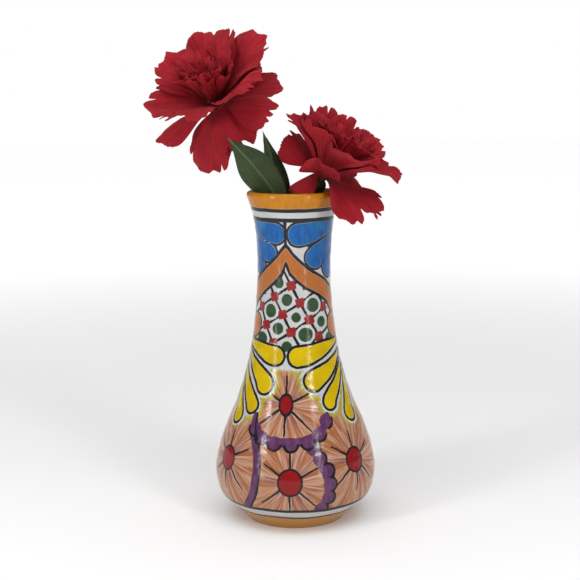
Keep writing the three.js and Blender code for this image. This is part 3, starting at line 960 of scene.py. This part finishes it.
def petal_material():
    g = Graph("petal_cloth")
    across, along, petal = g.attribute("across"), g.attribute("along"), g.attribute("petal")
    # Pressed veins fan out along each petal.
    fan = g.math("DIVIDE", across, g.add(along, 9))
    veins = g.noise(g.vector(g.times(fan, 26), g.times(along, 0.03), g.times(petal, 7)), 1, 3, 0.6)
    dye = g.noise(g.place(), 60, 3)
    # Painted light and shade: the veins switch the red between a shaded copy and a lit copy of it.
    painted_shade_red = g.mix(g.step(dye, 0.3, 0.7), (0.225, 0.007, 0.014), (0.28, 0.009, 0.017))
    painted_light_red = g.mix(g.step(dye, 0.3, 0.7), (0.31, 0.011, 0.019), (0.365, 0.014, 0.023))
    colour = g.mix(g.step(veins, 0.3, 0.7), painted_shade_red, painted_light_red)
    # Painted shade: the petals turn darker towards the disc, deep in the bloom.
    colour = g.mix(g.step(along, 12, 2), colour, (0.16, 0.005, 0.01))
    relief = g.add(g.times(veins, 1.5), g.times(weave(g, across, along, 22), 0.08))
    return g.finish(
        Base_Color=colour,
        Roughness=0.72,
        Specular_IOR_Level=0.14,
        Sheen_Weight=0.08,
        Sheen_Roughness=0.4,
        Sheen_Tint=(1, 0.4, 0.4),
        Subsurface_Weight=0.12,
        Subsurface_Radius=(0.004, 0.0006, 0.0006),
        Subsurface_Scale=0.5,
        Normal=g.bump(relief, 0.0002),
    )


def plastic_material(name, dark, light, roughness):
    """Moulded plastic with a fine grain and slight flow marks."""
    g = Graph(name)
    where = g.place()
    flow = g.noise(g.scaled(where, 1, 1, 0.25), 240, 3)
    grain = g.noise(where, 3200, 2)
    return g.finish(
        Base_Color=g.mix(g.step(flow, 0.3, 0.7), dark, light),
        Roughness=g.mix(grain, (roughness,) * 3, (roughness + 0.12,) * 3),
        Specular_IOR_Level=0.4,
        Normal=g.bump(g.add(g.times(flow, 0.8), g.times(grain, 0.3)), 0.00012),
    )


def steel_material():
    g = Graph("drawn_wire")
    where = g.place()
    draw = g.noise(g.scaled(where, 1, 1, 0.05), 5200, 3)
    return g.finish(
        Base_Color=g.mix(draw, (0.42, 0.42, 0.43), (0.6, 0.6, 0.61)),
        Metallic=1.0,
        Roughness=g.mix(draw, (0.28,) * 3, (0.42,) * 3),
        Normal=g.bump(draw, 0.00002),
    )


def make_calyx(flower, material):
    """A ribbed cup with five sepals, turned about the peg."""
    profile = spline(CALYX_PROFILE, 60)
    turn = np.linspace(0, 2 * math.pi, CALYX_SIDES, endpoint=False)[None, :]
    radius, z = profile[:, :1], profile[:, 1:]
    outside = np.clip((radius - 2.9) / 0.6, 0, 1)
    ribs = 0.16 * np.cos(10 * turn) + 0.22 * np.clip((z + 9) / 5, 0, 1) * np.cos(5 * turn)
    reach = radius + ribs * outside
    points = round_the_peg(turn, reach, z)
    axes, hub = bloom_frame(flower)
    name = f"{flower['name']}_calyx"
    placed = (points.reshape(-1, 3) @ axes.T + hub) * MM
    thing = new_object(f"{name}_cup", placed, grid_faces(len(profile), CALYX_SIDES, True), material)
    cap_ends(thing, len(profile), CALYX_SIDES)
    stand_for(thing, name, f"{flower['name']}_head")


def stem_path(flower, count):
    hub, faces = np.array(flower["hub"], float), unit(flower["faces"])
    foot, start = (np.array(flower[key], float) for key in ("foot", "bend_start"))
    straight = [foot + (start - foot) * share for share in (0, 0.35, 0.7, 0.92, 1)]
    bend = [np.array(point, float) for point in flower["bend"]]
    end = [hub - faces * (CALYX_LENGTH + gap) for gap in (8, 1, -6.2)]
    return spline([*straight, *bend, *end], count)


def make_stem(flower, material):
    path = stem_path(flower, 140)
    step = np.linalg.norm(path[1] - path[0])
    ends = round(WIRE_PROUD / step) + 1
    path = path[ends:-ends]
    # The moulded sleeve swells and narrows a little along its length.
    radius = SLEEVE_RADIUS - 0.1 + 0.072 * np.sin(np.linspace(0, 46, len(path)))
    name = f"{flower['name']}_stem_sleeve"
    thing = sweep(f"{name}_skin", path, radius, 20, material)
    stand_for(thing, name, f"{flower['name']}_stem")


# ---- leaves ----

LEAVES = [
    {
        "name": "left_front_leaf",
        "line": [(-11.6, -1.7, 173.6), (-9, -4, 188), (-11.4, -7, 201), (-24.5, -14, 220)],
        "tip": (-38.5, -21, 236),
        "half_width": 10.5,
        "widest": 0.62,
        "face": (-0.1, -1, 0.25),
    },
    {
        "name": "left_back_leaf",
        "line": [(-8, 2.4, 173.6), (-6.8, 3.4, 188), (-9.2, 3.8, 206), (-13, 3, 222)],
        "tip": (-18.5, 2, 239),
        "half_width": 7.5,
        "widest": 0.5,
        "face": (0.25, -1, 0.1),
    },
]
LEAF_ROWS = 90
LEAF_COLUMNS = 31
LEAF_THICKNESS = 0.4
LEAF_STALK = 0.8
LEAF_LENGTH = 70


def make_leaf(leaf, material):
    centre = spline([*leaf["line"], leaf["tip"]], LEAF_ROWS)
    tangent = unit(np.gradient(centre, axis=0))
    across = unit(np.cross(tangent, np.array(leaf["face"], float)))
    lift = np.cross(across, tangent)
    t = np.linspace(0, 1, LEAF_ROWS)
    rise = np.where(t < leaf["widest"], t / leaf["widest"], (1 - t) / (1 - leaf["widest"]))
    width = LEAF_STALK + (leaf["half_width"] - LEAF_STALK) * np.sin(rise * math.pi / 2) ** 1.8
    width = width[:, None] * np.clip((1 - t[:, None]) * 12, 0.05, 1)
    side = np.linspace(-1, 1, LEAF_COLUMNS)[None, :]
    gap = side * width
    fold = -0.16 * width * side**2 + 0.35 * np.exp(-((gap / 0.55) ** 2))
    wave = 0.35 * side**2 * np.sin(t[:, None] * 17 + 2 * side) * np.sin(rise * 1.5)[:, None]
    points = centre[:, None] + across[:, None] * gap[..., None]
    points = points + lift[:, None] * (fold + wave)[..., None]
    name = leaf["name"]
    faces = grid_faces(LEAF_ROWS, LEAF_COLUMNS)
    thing = new_object(f"{name}_blade", points.reshape(-1, 3) * MM, faces, material)
    set_attribute(thing, "across", gap.ravel())
    set_attribute(thing, "share", np.broadcast_to(side, gap.shape).ravel())
    set_attribute(thing, "along", np.repeat(t * LEAF_LENGTH, LEAF_COLUMNS))
    thicken(thing, LEAF_THICKNESS)
    stand_for(thing, name, "left_stem")


def leaf_material():
    g = Graph("leaf_cloth")
    across, share, along = g.attribute("across"), g.attribute("share"), g.attribute("along")
    # Long veins run beside the midrib and close up at the tip.
    veins = g.step(g.math("SINE", g.times(share, 26)), 0.78, 0.97)
    rib = g.step(g.math("ABSOLUTE", across), 0.75, 0.3)
    dye = g.noise(g.place(), 120, 3)
    green = g.mix(g.step(dye, 0.3, 0.7), (0.019, 0.036, 0.009), (0.031, 0.053, 0.014))
    pale = g.math("MAXIMUM", g.times(veins, 0.4), rib)
    green = g.mix(g.times(pale, 0.7), green, (0.085, 0.14, 0.05))
    green = g.mix(g.step(along, 12, 2), green, (0.03, 0.055, 0.014))
    relief = g.add(g.math("MAXIMUM", veins, rib), g.times(weave(g, across, along, 18), 0.1))
    return g.finish(
        Base_Color=green,
        Roughness=0.48,
        Specular_IOR_Level=0.28,
        Sheen_Weight=0.1,
        Normal=g.bump(relief, 0.0003),
    )


def dress(node, material):
    """Gives a shown CAD node its material."""
    thing = bpy.data.objects[node]
    thing.data.materials.clear()
    thing.data.materials.append(material)


make_camera()
make_surroundings()
make_vase()
petal_cloth = petal_material()
green_plastic = plastic_material("calyx_plastic", (0.03, 0.07, 0.02), (0.05, 0.1, 0.03), 0.4)
stem_plastic = plastic_material("stem_plastic", (0.02, 0.05, 0.015), (0.035, 0.075, 0.022), 0.42)
red_plastic = plastic_material("peg_plastic", (0.2, 0.006, 0.01), (0.28, 0.01, 0.015), 0.45)
steel = steel_material()
for flower in FLOWERS:
    for level, layer in enumerate(LAYERS):
        make_layer(flower, layer, level, petal_cloth)
    make_calyx(flower, green_plastic)
    make_stem(flower, stem_plastic)
    side = flower["name"]
    dress(f"{side}_stem_wire", steel)
    for node in (f"{side}_peg", *(f"{side}_spacer_{k}" for k in range(1, len(LAYERS)))):
        dress(node, red_plastic)
dress("left_leaf_collar", green_plastic)
leaf_cloth = leaf_material()
for leaf in LEAVES:
    make_leaf(leaf, leaf_cloth)
